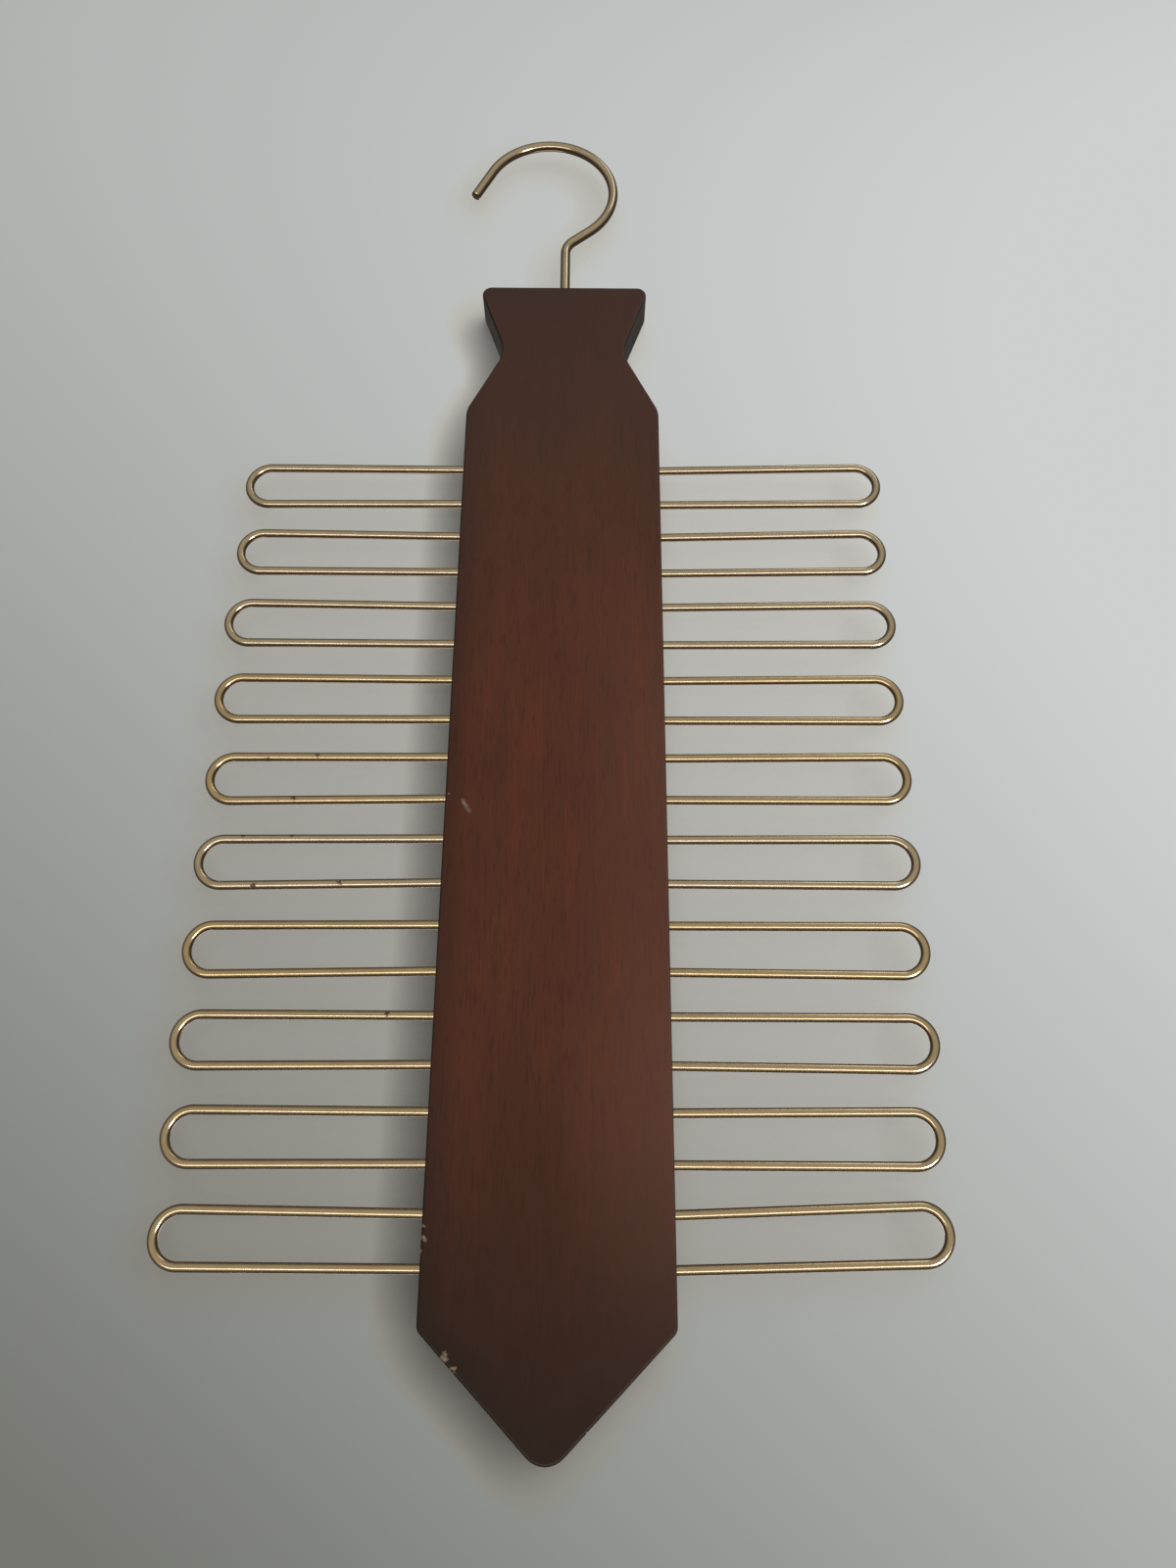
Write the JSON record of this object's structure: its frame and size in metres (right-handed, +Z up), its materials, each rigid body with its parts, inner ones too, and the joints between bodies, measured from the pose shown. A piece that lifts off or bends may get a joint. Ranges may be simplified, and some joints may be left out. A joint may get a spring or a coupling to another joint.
{
  "type": "tie hanger",
  "caption": "Necktie-shaped wooden board with wire loops along both edges for hanging ties, under a swivelling wire hook.",
  "frame": {"origin": "the rail seat: the inside of the hook's bow at its crown, in the middle of the wire, with the hook in the plane of the board", "axes": "+Z up as the hanger hangs, +X to the right seen from the front, -Y out of the front face"},
  "size_m": [0.23, 0.014, 0.474],
  "materials": {
    "stained_wood": "dark reddish-brown stain under satin lacquer, darker towards the edges",
    "brass_wire": "bright brass plating, lightly tarnished",
    "steel_bush": "plain"
  },
  "bodies": {
    "hook": {"hook": "brass_wire"},
    "rack": {"board": "stained_wood", "hook_bush": "steel_bush", "left_arm_1": "brass_wire", "left_arm_2": "brass_wire", "left_arm_3": "brass_wire", "left_arm_4": "brass_wire", "left_arm_5": "brass_wire", "left_arm_6": "brass_wire", "left_arm_7": "brass_wire", "left_arm_8": "brass_wire", "left_arm_9": "brass_wire", "left_arm_10": "brass_wire", "right_arm_1": "brass_wire", "right_arm_2": "brass_wire", "right_arm_3": "brass_wire", "right_arm_4": "brass_wire", "right_arm_5": "brass_wire", "right_arm_6": "brass_wire", "right_arm_7": "brass_wire", "right_arm_8": "brass_wire", "right_arm_9": "brass_wire", "right_arm_10": "brass_wire"}
  },
  "joints": [
    {"name": "hook_swivel", "type": "hinge", "parent": "hook", "child": "rack", "pos_m": [0.00693, 0, -0.07835], "axis": [0, 0, 1], "continuous": true}
  ]
}
